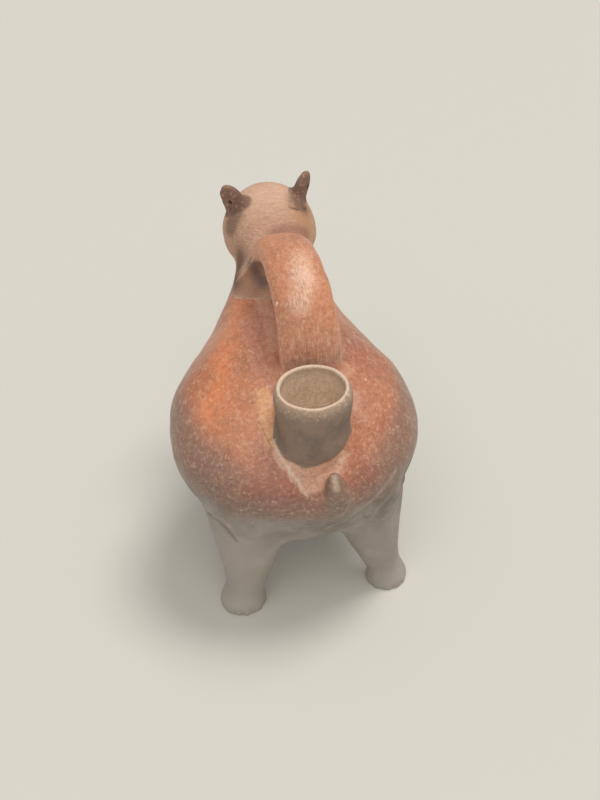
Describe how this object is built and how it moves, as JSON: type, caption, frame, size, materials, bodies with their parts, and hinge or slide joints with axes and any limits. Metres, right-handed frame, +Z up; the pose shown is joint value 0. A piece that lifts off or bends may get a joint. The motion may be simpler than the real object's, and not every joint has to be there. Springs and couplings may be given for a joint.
{
  "type": "animal_shaped_pottery_vessel",
  "caption": "Ancient red pottery vessel shaped as a stout four-legged animal, hollow, with rump spout, strap handle, pierced ears and open mouth",
  "frame": {"origin": "on the ground, in the middle of the vessel's outer box", "axes": "+Z up, the animal faces -Y, its left side is +X"},
  "size_m": [0.146, 0.23, 0.216],
  "materials": {
    "fired_clay": "burnished red slip, worn to buff on the head and spout, greyed on the legs"
  },
  "bodies": {
    "root": {"vessel": "fired_clay"}
  },
  "joints": []
}
